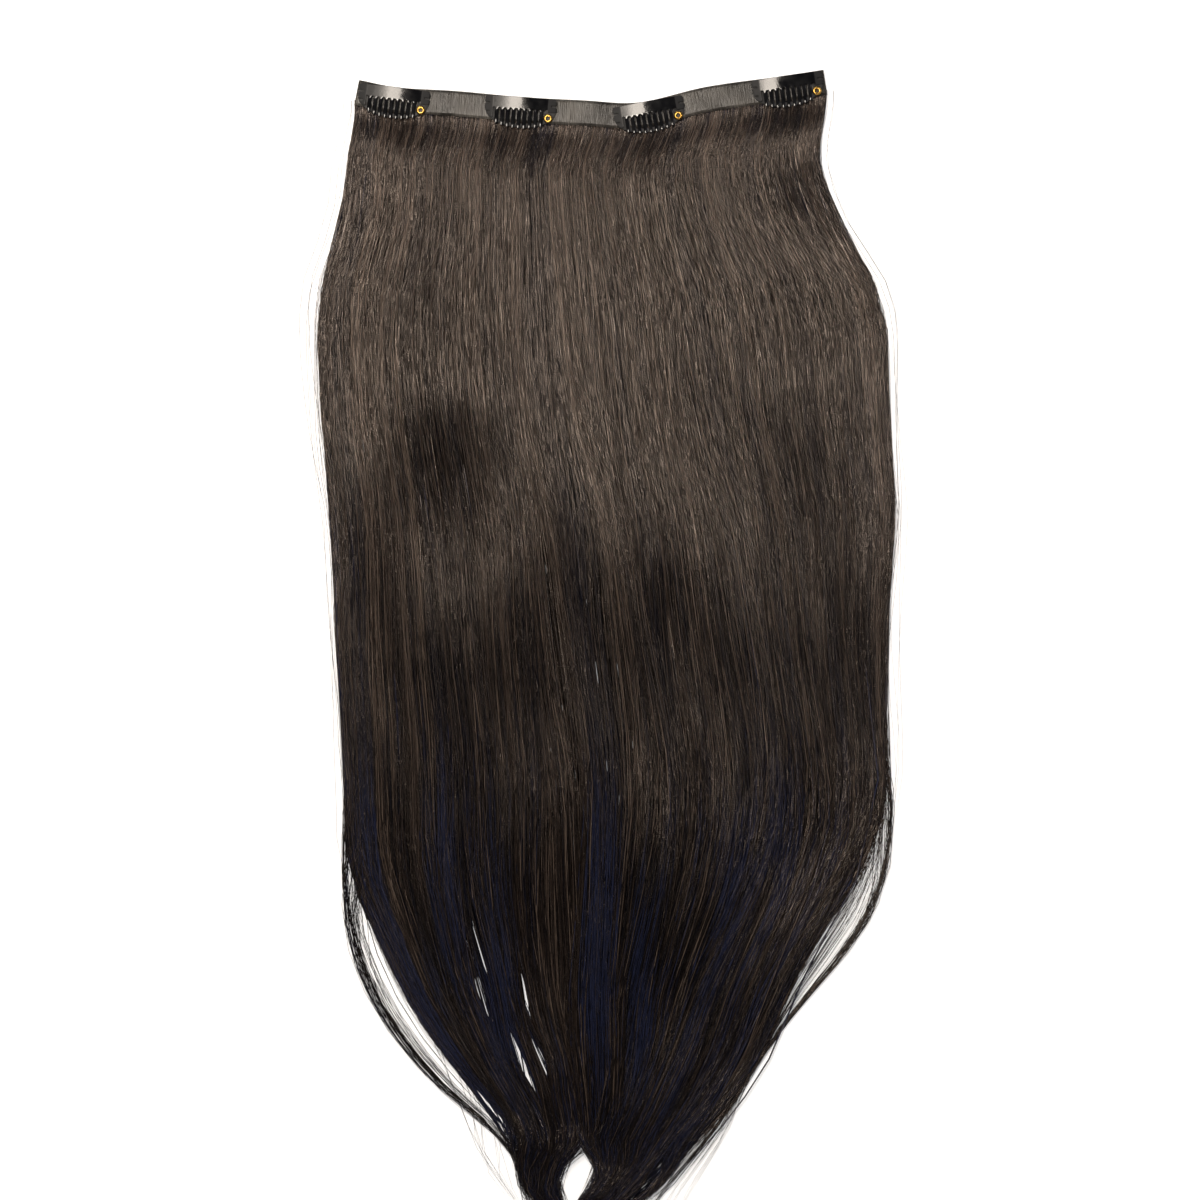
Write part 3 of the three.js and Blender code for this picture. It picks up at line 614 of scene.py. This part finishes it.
def streaks_and_painted_light(x, y):
    """How much lighter the hair is there, each a bell across and a flatter one down: streaks of its
    own colour, and painted light between the clips.
    """
    return sum(
        much * np.exp(-(((x - cx) / wide) ** 2) - ((y - cy) / long) ** 4)
        for cx, cy, wide, long, much in STREAKS_AND_PAINTED_LIGHT
    )


def nearest_lock(place):
    """The number of the lock whose place is nearest."""
    return np.abs(place[:, None] - LOCKS[0][None]).argmin(1)


def grow(count, low, high, levels, shortest, stations, seed, tied=1.0, lowest=0.35):
    """Middle lines and tones of strands spread evenly between two places."""
    rng = np.random.default_rng(seed)
    place = low + (high - low) * (np.arange(count) + rng.uniform(0, 1, count)) / count
    place = np.clip(place + rng.normal(0, 0.004, count), -1, 1)
    shuffled = np.clip(place + rng.normal(0, 0.01, count), -1, 1)
    lock = nearest_lock(shuffled)
    level = rng.uniform(*levels, count)
    reach = 1 - (1 - shortest) * rng.uniform(0, 1, count) ** 1.5 - 0.03 * place**2
    lines = lay_strands(place, reach, level, lock, stations, tied, lowest)
    light = (rng.uniform(0, 1, count) < LIGHT_SHARE) * rng.uniform(*LIGHTER, count)
    own = LOCK_TONE[lock] + rng.normal(-0.03, 0.13, count) + light
    down = stations / stations[-1]
    # Darker towards the tips, into the ramp's blue-black: painted shade, together with the hair's
    # own blue cast.
    darkened = (0.14 * ease(0.3, 0.7, down) + 0.06 * ease(0.7, 1, down))[None]
    # Strands lower in the mass are darker by their level: painted shade.
    tone = own[:, None] - darkened + 0.05 * (level[:, None] - 0.7)
    tone = tone + streaks_and_painted_light(*lines[..., :2].transpose(2, 0, 1))
    return lines, np.maximum(tone, 0.2 * (1 - ease(0.5, 0.7, down))), rng


for number, (low, high) in enumerate([(-1, -0.5), (-0.5, 0), (0, 0.5), (0.5, 1)], 1):
    stations = PARTED_STATIONS if number in (2, 3) else TOP_STATIONS
    lines, tone, rng = grow(TOP_STRANDS, low, high, (0.72, 1.0), 0.93, stations, 30 + number)
    girth = TOP_GIRTH * rng.uniform(0.8, 1.25, len(lines))
    hair_piece(f"hair_top_{number}", lines, tone, girth, 50 + number)
for number, (low, high) in enumerate([(-1, 0), (0, 1)], 1):
    lines, tone, rng = grow(
        UNDER_STRANDS, low, high, (0, 0.8), 0.93, UNDER_STATIONS, 40 + number, tied=0.12, lowest=0.6
    )
    girth = UNDER_GIRTH * rng.uniform(0.85, 1.2, len(lines))
    # The under strands are darker still: painted shade beneath the top strands.
    hair_piece(f"hair_under_{number}", lines, tone - 0.12, girth, 60 + number)

# Loose wisps leave the mass low down. Each has the course of its outer edge, in millimetres
# below the band's middle and across; a share of 1 puts a strand on the hair's own side.
WISPS = [
    # side, strands, where it starts to leave, crowding towards its outer edge, its share, course
    (-1, 60, 290, 1.0, (-0.1, 0.22))
    + ([(290, -110), (329, -109.3), (364, -105.6), (394, -93.3), (418, -76), (435, -58.8)]
       + [(444, -46), (458, -35), (467, -28), (478, -23), (498, -12)],),
    (-1, 22, 300, 1.2, (0.1, 1.0))
    + ([(300, -109.5), (329, -109), (364, -104), (394, -91), (418, -73), (435, -56)]
       + [(444, -44), (458, -33), (478, -22), (498, -12)],),
    (-1, 12, 415, 1.0, (-0.03, 0.12))
    + ([(395, -92.5), (418, -76.5), (435, -60.5), (453, -52), (467, -43), (475.5, -36)]
       + [(498, -22)],),
    (1, 46, 270, 1.0, (0.0, 0.18))
    + ([(270, 131.5), (307, 133), (336, 130), (355.5, 122.8), (376, 107.5), (392, 93.2)]
       + [(411, 78.2), (430, 66), (455, 49), (478, 30), (498, 16)],),
    (1, 46, 280, 1.0, (0.1, 1.0))
    + ([(280, 131), (307, 132.2), (336, 129), (355.5, 121.6), (376, 106.5), (392, 92.6)]
       + [(411, 77.6), (430, 65.5), (455, 49), (478, 30), (498, 16)],),
    (1, 60, 385, 1.1, (0.0, 1.1))
    + ([(385, 90), (411, 79), (428.6, 68), (447.5, 60.5), (465, 50), (478.3, 42), (498, 31)],),
]


def wisp(side, count, leaves, crowding, shares, course, seed):
    """Strands that keep with the hair's side, then ease over to a course of their own.

    Across, a strand lies at its share of the way from the course to the side of the mass.
    """
    rng = np.random.default_rng(seed)
    place = side * rng.uniform(0.9, 0.998, count)
    lock = nearest_lock(place)
    level = rng.uniform(0.1, 0.9, count)
    reach = 1 - rng.uniform(0, 0.07, count)
    lines = lay_strands(place, reach, level, lock, WISP_STATIONS)
    below = -lines[..., 1]
    outer = between(np.array(course, float), below)[0]
    mass = between(SIDES, below)[0 if side < 0 else 1]
    share = shares[0] + (shares[1] - shares[0]) * rng.uniform(0, 1, (count, 1)) ** crowding
    waver = rng.normal(0, 1, (2, count, 1))
    own = outer + (mass - outer) * share + 0.6 * waver[0] * np.sin(below / 31 + 3 * waver[1])
    leaving = leaves + 25 * rng.uniform(-1, 1, (count, 1))
    gone = ease(leaving, leaving + 55, below)
    lines[..., 0] += (own - lines[..., 0]) * gone
    lines[..., 2] += (0.4 + 2.2 * level[:, None] - lines[..., 2]) * gone
    tone = rng.normal(0.36, 0.12, (count, 1)) + 0 * WISP_STATIONS
    return lines, tone, 0.11 * rng.uniform(0.7, 1.3, count)


WISP_STATIONS = np.array([0, 4, 12, 30, 70, 130, 200, 260, 290, 315, 340, 362, 382, 400, 417])
WISP_STATIONS = np.r_[WISP_STATIONS, 433, 448, 462, 478, 494]
laid = [wisp(*each, seed=70 + number) for number, each in enumerate(WISPS)]

LOOSE_STATIONS = np.r_[0, 4, 12, np.linspace(28, 494, 29)]
FLYAWAYS, AT_THE_SIDES = 270, 0.35  # how many, and the share that stands off the hair's sides


def flyaways(count, seed):
    """Fine strands that stand off the hair's sides or cross the top of it in long shallow arcs.

    An arc is a bell round its own place down the hair, added across to the strand's course.
    """
    rng = np.random.default_rng(seed)
    side = rng.choice([-1, 1], count)
    edge = rng.uniform(0, 1, count) < AT_THE_SIDES
    place = np.where(edge, side * rng.uniform(0.95, 1.0, count), rng.uniform(-0.9, 0.9, count))
    lock = nearest_lock(place)
    reach = 1 - rng.uniform(0, 0.3, count)
    lines = lay_strands(place, reach, np.ones(count), lock, LOOSE_STATIONS)
    below = -lines[..., 1]
    at = rng.uniform(60, 330, (count, 1)) + np.where(edge, 0, 70)[:, None]
    long = np.where(edge[:, None], 63, 26) + 80 * rng.uniform(0, 1, (count, 1))
    arc = np.where(edge, side * rng.gamma(1.4, 1.7, count), rng.normal(0, 7, count))
    lines[..., 0] += arc[:, None] * np.exp(-(((below - at) / long) ** 2))
    lines[..., 2] += np.where(edge, 0, 0.5)[:, None] * ease(20, 80, below)
    tone = rng.normal(0.62, 0.15, (count, 1)) + 0 * LOOSE_STATIONS
    return lines, tone, 0.075 * rng.uniform(0.7, 1.3, count)


hair_piece("hair_wisps", *(np.concatenate(each) for each in zip(*laid)), 91)
hair_piece("hair_flyaways", *flyaways(FLYAWAYS, 90), 92)

# ---------------------------------------------------------------------------------------------
# Each snap comb is two springy sheets of steel under glossy black enamel, 31 mm long. The lower
# one is a flat frame with a bowed lower edge, pierced at both ends, where it is sewn to the band.
# ---------------------------------------------------------------------------------------------
CLIP_HALF, CLIP_TOP, CLIP_DEPTH, SHEET = 15.5, 5.8, 7.4, 0.5  # millimetres
FRAME_LEVEL, CLIP_ACROSS = 2.65, -0.7
TOP_RAIL, BOW_WIDTH, WINDOW_HALF = 1.8, 1.7, 10.7
SEWN = [(side * 13.9, v) for side in (-1, 1) for v in (3.89, 1.16)]
SEWING_HOLE, EYELET, EYELET_SEAT = 0.55, (12.3, -2.7), 1.3
FRAME_STEP, FRAME_EDGE = 0.36, 0.1  # the cells that a sheet is made of, and its rounding
CLIP_INSET, CLIP_SPREAD = 16.5, np.array([0, 0.32, 0.645, 1])
CLIP_PLACES = CLIP_INSET / BAND_LENGTH + (1 - 2 * CLIP_INSET / BAND_LENGTH) * CLIP_SPREAD


def rounded(u, v, low, high, corner):
    """How far points lie outside a rectangle with rounded corners; less than nought inside."""
    du = np.abs(u - (low[0] + high[0]) / 2) - (high[0] - low[0]) / 2 + corner
    dv = np.abs(v - (low[1] + high[1]) / 2) - (high[1] - low[1]) / 2 + corner
    outside = np.hypot(np.maximum(du, 0), np.maximum(dv, 0))
    return outside + np.minimum(np.maximum(du, dv), 0) - corner


def within_bow(u, v, inset=0.0):
    """How far points lie outside the half ellipse that bounds a clip below, drawn in by an inset:
    the ellipse's own level there, less one, over how fast that level grows.
    """
    a, b = CLIP_HALF - inset, CLIP_DEPTH - inset
    level = np.hypot(u / a, v / b)
    return np.where(v > 0, np.abs(u) - a, (level - 1) * level / np.hypot(u / a**2, v / b**2))


def frame_outline(u, v):
    """The frame's outline: a rounded strip joined to the bow, less its window and its holes."""
    strip = rounded(u, v, (-CLIP_HALF, -2), (CLIP_HALF, CLIP_TOP), 1.4)
    shape = np.where(v > 0, strip, within_bow(u, v))
    window = np.maximum(within_bow(u, v, BOW_WIDTH), np.abs(u) - WINDOW_HALF)
    shape = np.maximum(shape, -np.maximum(window, v - CLIP_TOP + TOP_RAIL))
    for hole_u, hole_v in SEWN:
        shape = np.maximum(shape, SEWING_HOLE - np.hypot(u - hole_u, v - hole_v))
    return np.maximum(shape, EYELET_SEAT - np.hypot(u - EYELET[0], v - EYELET[1]))


def stamped(outline, step):
    """Points and faces of a flat sheet with that outline: the cells of a grid whose middle lies
    inside it, with the points on their rim moved onto it along its steepest way.
    """
    u, v = np.meshgrid(
        np.arange(-CLIP_HALF - step, CLIP_HALF + 1.5 * step, step),
        np.arange(-CLIP_DEPTH - 1.5, CLIP_TOP + 1.5 * step, step),
        indexing="ij",
    )
    middle = outline(u[:-1, :-1] + step / 2, v[:-1, :-1] + step / 2).ravel()
    faces = grid_faces(*u.shape)[middle < 0]
    points = np.stack([u.ravel(), v.ravel()], -1)
    used = np.bincount(faces.ravel(), minlength=len(points))
    rim = (used > 0) & (used < 4)
    nudge = 1e-3
    for _ in range(5):
        a, b = points[rim].T
        slope = np.stack(
            [
                outline(a + nudge, b) - outline(a - nudge, b),
                outline(a, b + nudge) - outline(a, b - nudge),
            ],
            -1,
        ) / (2 * nudge)
        steep = np.maximum((slope**2).sum(1), 0.3)
        points[rim] -= np.clip(outline(a, b) / steep, -step, step)[:, None] * slope
    number = np.cumsum(used > 0) - 1
    return points[used > 0], number[faces][:, ::-1]


def on_clip(share, points, level):
    """Places of a clip's own points, across and up from its middle, at a share of the band."""
    x, y = on_band(np.array([share, share]), np.array([CLIP_ACROSS, CLIP_ACROSS + 1]))
    up = np.array([x[1] - x[0], y[1] - y[0]])
    run = np.array([up[1], -up[0]])
    flat = np.array([x[0], y[0]]) + points[:, :1] * run + points[:, 1:] * up
    return np.column_stack([flat, level])


def sheet_piece(name, points, faces, thick, corner, flat):
    """A sheet's middle as a piece, given its thickness and rounded edges. Its map holds its flat
    outline's millimetres.
    """
    made = new_piece(name, points * MM, [faces], {"flat": flat[faces.ravel()]})
    wall = made.modifiers.new("thickness", "SOLIDIFY")
    wall.thickness, wall.offset = thick * MM, 0
    edge = made.modifiers.new("edges", "BEVEL")
    edge.width, edge.segments = corner * MM, 2
    edge.limit_method, edge.angle_limit = "ANGLE", 0.9
    return made


dull, node, join = material("dull_enamel", 0.5, specular=0.22)
place = node("TexCoord").outputs["Object"]
scuffed = node("TexNoise", Vector=place, Scale=500, Detail=3).outputs["Fac"]
join(ramp(node, scuffed, (0.35, (0.004, 0.004, 0.005)), (0.7, (0.012, 0.012, 0.013))), "Base Color")
join(ramp(node, scuffed, (0.35, 0.42), (0.7, 0.6)), "Roughness")

points, faces = stamped(frame_outline, FRAME_STEP)
for number, share in enumerate(CLIP_PLACES, 1):
    placed = on_clip(share, points, np.full(len(points), FRAME_LEVEL))
    made = sheet_piece(f"clip_{number}_sewn_frame", placed, faces, SHEET, FRAME_EDGE, points)
    made.data.materials.append(dull)
    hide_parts(f"clip_{number}_frame")
    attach(made, "weft")

# ---------------------------------------------------------------------------------------------
# The upper sheet is the comb: an arched, mirror-bright plate that snaps over when it is pressed.
# It has nine teeth that curl down over the frame's bow, two sewing notches at its left end and
# one at its right, and it swings on its upper edge.
# ---------------------------------------------------------------------------------------------
LEAF_LEVEL, LEAF_ARCH, PLATE_EDGE = 3.45, 1.8, 0.8
TEETH, TOOTH_WIDE, TOOTH_PITCH, FIRST_TOOTH, TIP_PAST = 9, 1.5, 2.45, -10.35, 0.6
CURL, TOOTH_DOME = (-0.08, 0.97), 0.16  # where along a tooth it curls down, and its dome's height
NOTCHES = [((-17, 2.07), (-13.3, 3.07)), ((-17, -1.89), (-13.3, -0.89)), ((13.3, 2.07), (17, 3.07))]
COMB_STEP, COMB_EDGE = 0.34, 0.12


def bow_at(u):
    """How low the bow lies there."""
    return -CLIP_DEPTH * np.sqrt(np.clip(1 - (u / CLIP_HALF) ** 2, 0, 1))


def nearest_tooth(u):
    """The middle of the tooth that is nearest."""
    number = np.clip(np.round((u - FIRST_TOOTH) / TOOTH_PITCH), 0, TEETH - 1)
    return FIRST_TOOTH + TOOTH_PITCH * number


def comb_outline(u, v):
    """The comb's outline: plate, tabs and teeth blended where they meet, less the notches."""
    plate = rounded(u, v, (-CLIP_HALF, PLATE_EDGE), (CLIP_HALF, CLIP_TOP), 0.9)
    left = np.maximum(rounded(u, v, (-CLIP_HALF, -3.63), (-12.2, 3.5), 0.5), within_bow(u, v))
    right = rounded(u, v, (11.65, 0), (CLIP_HALF, 3.5), 0.5)
    plate = np.minimum(np.minimum(plate, left), right)
    middle = nearest_tooth(u)
    tip = bow_at(middle) - TIP_PAST
    half = TOOTH_WIDE / 2
    tooth = rounded(u - middle, v, (-half, tip), (half, 2.5), 0.6)
    near = np.clip(1 - np.abs(plate - tooth) / 0.6, 0, 1)
    shape = np.minimum(plate, tooth) - near**2 * 0.6 / 4
    for low, high in NOTCHES:
        shape = np.maximum(shape, -rounded(u, v, low, high, 0.45))
    return shape


def comb_level(u, v):
    """The comb's height: an arch along the clip, which the teeth give up in a smooth step as they
    curl down and level out again at their tips, and a low dome across each tooth.
    """
    middle = nearest_tooth(u)
    down = np.clip((PLATE_EDGE - v) / (PLATE_EDGE - bow_at(middle) + TIP_PAST), 0, 1)
    tab = (u < -11.6) | (u > 10.6)
    down = np.where(tab, 0, down)
    over = u + (middle - u) * ease(0, 0.3, down)
    arch = LEAF_ARCH * (1 - (over / CLIP_HALF) ** 2)
    off = np.clip(np.abs(u - middle) / (TOOTH_WIDE / 2), 0, 1)
    dome = TOOTH_DOME * (1 - off**2) * ease(0, 0.15, down) - TOOTH_DOME / 2 * ease(0, 0.15, down)
    return LEAF_LEVEL + arch * (1 - ease(*CURL, down)) / (1 - ease(*CURL, 0)) + dome


enamel, node, join = material("black_enamel", 0.12, specular=0.4)
place = node("TexCoord").outputs["Object"]
smudge = node("TexNoise", Vector=place, Scale=260, Detail=3).outputs["Fac"]
peel = node("TexNoise", Vector=place, Scale=900, Detail=2).outputs["Fac"]
along = node("SeparateXYZ", Vector=node("UVMap", {"uv_map": "flat"}).outputs["UV"]).outputs["X"]
at_end = node("MapRange", Value=node("Math", {"operation": "ABSOLUTE"}, _0=along).outputs[0])
for socket, value in {"From Min": 11.6, "From Max": 12.6, "To Min": 0.0, "To Max": 0.52}.items():
    at_end.inputs[socket].default_value = value
gloss = ramp(node, smudge, (0.35, 0.07), (0.7, 0.15))
worn = node("Math", {"operation": "ADD"}, _0=gloss, _1=at_end.outputs["Result"])
join(worn.outputs[0], "Roughness")
join(ramp(node, smudge, (0.35, (0.004, 0.004, 0.005)), (0.7, (0.011, 0.011, 0.012))), "Base Color")
join(node("Bump", Strength=0.15, Distance=0.0001, Height=peel).outputs["Normal"], "Normal")

points, faces = stamped(comb_outline, COMB_STEP)
level = comb_level(*points.T)
for number, share in enumerate(CLIP_PLACES, 1):
    placed = on_clip(share, points, level)
    made = sheet_piece(f"clip_{number}_snap_comb", placed, faces, SHEET, COMB_EDGE, points)
    made.data.materials.append(enamel)
    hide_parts(f"clip_{number}_comb")
    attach(made, f"comb_{number}")

# ---------------------------------------------------------------------------------------------
# A small brass eyelet is set through each clip's lower right corner: a tube drawn through the
# frame and rolled over above it.
# ---------------------------------------------------------------------------------------------
EYELET_FOOT, EYELET_SIDES = 2.4, 48
EYELET_SECTION = np.array(  # radius and height above its foot, round the rolled wall
    [(0.75, 0.05), (0.8, 0.0), (1.0, 0.0), (1.05, 0.05), (1.05, 0.78), (1.3, 0.8), (1.9, 0.8)]
    + [(1.98, 0.84), (2.0, 0.93), (1.95, 1.07), (1.8, 1.25), (1.6, 1.42), (1.4, 1.52)]
    + [(1.2, 1.55), (1.0, 1.5), (0.85, 1.36), (0.77, 1.2), (0.75, 1.0)]
)


def turned(section, sides):
    """Points and faces of a ring: its section carried round its axis."""
    angle = np.linspace(0, 2 * np.pi, sides, endpoint=False)[:, None]
    r, z = section.T
    points = np.stack([r * np.cos(angle), r * np.sin(angle), z + 0 * angle], -1)
    walls = grid_faces(sides + 1, len(section), ring=True) % (sides * len(section))
    return points.reshape(-1, 3), walls[:, ::-1]


brass, node, join = material("bright_brass", 0.25, metallic=1.0)
place = node("TexCoord").outputs["Object"]
tarnish = node("TexNoise", Vector=place, Scale=700, Detail=3).outputs["Fac"]
join(ramp(node, tarnish, (0.3, (0.36, 0.2, 0.04)), (0.65, (0.6, 0.37, 0.09))), "Base Color")
join(ramp(node, tarnish, (0.3, 0.34), (0.65, 0.18)), "Roughness")

ring, faces = turned(EYELET_SECTION, EYELET_SIDES)
for number, share in enumerate(CLIP_PLACES, 1):
    placed = on_clip(share, ring[:, :2] + EYELET, ring[:, 2] + EYELET_FOOT)
    made = new_piece(f"clip_{number}_brass_eyelet", placed * MM, [faces])
    made.data.materials.append(brass)
    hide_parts(f"clip_{number}_eyelet")
    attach(made, "weft")

# ---------------------------------------------------------------------------------------------
# Black thread sews each frame to the band: from every hole, under the comb's end, three turns
# go out over the frame's edge and down into the skin.
# ---------------------------------------------------------------------------------------------
THREAD, THREAD_SIDES, THREAD_STEPS = 0.13, 8, 15
STITCH_REACH, STITCH_SPREAD = 2.25, (-0.75, 0.05, 0.8)
STITCH_TOP, STITCH_DROP, HOLE_DIP = 3.06, 1.15, 0.5


def thread_turns():
    """Middle lines of one clip's stitches: half a sine wave high, from its hole out to the band."""
    t = np.linspace(0, 1, THREAD_STEPS)
    lines, levels = [], []
    for hole_u, hole_v in SEWN:
        out = np.sign(hole_u)
        for spread in STITCH_SPREAD:
            u = hole_u + out * (STITCH_REACH * t - 0.15 * np.abs(spread) * t)
            v = hole_v + spread * t
            lines.append(np.stack([u, v], -1))
            fall = STITCH_DROP * ease(0.72, 1, t)
            levels.append(STITCH_TOP - fall - HOLE_DIP * ease(0.22, 0, t))
    return np.array(lines), np.array(levels)


def thread_tube(lines):
    """A round tube along each middle line, closed by a fan at both ends."""
    side, up = across_lines(lines)
    angle = np.linspace(0, 2 * np.pi, THREAD_SIDES, endpoint=False)[:, None]
    ring = side[:, :, None] * np.cos(angle) + up[:, :, None] * np.sin(angle)
    points = lines[:, :, None] + THREAD * ring
    count, steps = lines.shape[:2]
    first = (np.arange(count) * steps * THREAD_SIDES)[:, None, None]
    walls = (grid_faces(steps, THREAD_SIDES, ring=True)[:, ::-1] + first).reshape(-1, 4)
    end = np.arange(THREAD_SIDES)[None]
    caps = [(end + first).reshape(-1, THREAD_SIDES)]
    caps.append((end[:, ::-1] + first + (steps - 1) * THREAD_SIDES).reshape(-1, THREAD_SIDES))
    return points.reshape(-1, 3), [walls, *caps]


thread, node, join = material("black_thread", 0.7, specular=0.3)
place = node("TexCoord").outputs["Object"]
twist = node("TexWave", Vector=place, Scale=1800, Distortion=2.0)
join(ramp(node, twist.outputs["Fac"], (0.2, (0.006, 0.006, 0.007)), (0.8, 0.03)), "Base Color")
bump = node("Bump", Strength=0.4, Distance=0.0001, Height=twist.outputs["Fac"])
join(bump.outputs["Normal"], "Normal")

flat, height = thread_turns()
for number, share in enumerate(CLIP_PLACES, 1):
    lines = np.array([on_clip(share, line, z) for line, z in zip(flat, height)])
    tube, faces = thread_tube(lines)
    made = new_piece(f"clip_{number}_stitches", tube * MM, faces)
    made.data.materials.append(thread)
    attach(made, "weft")
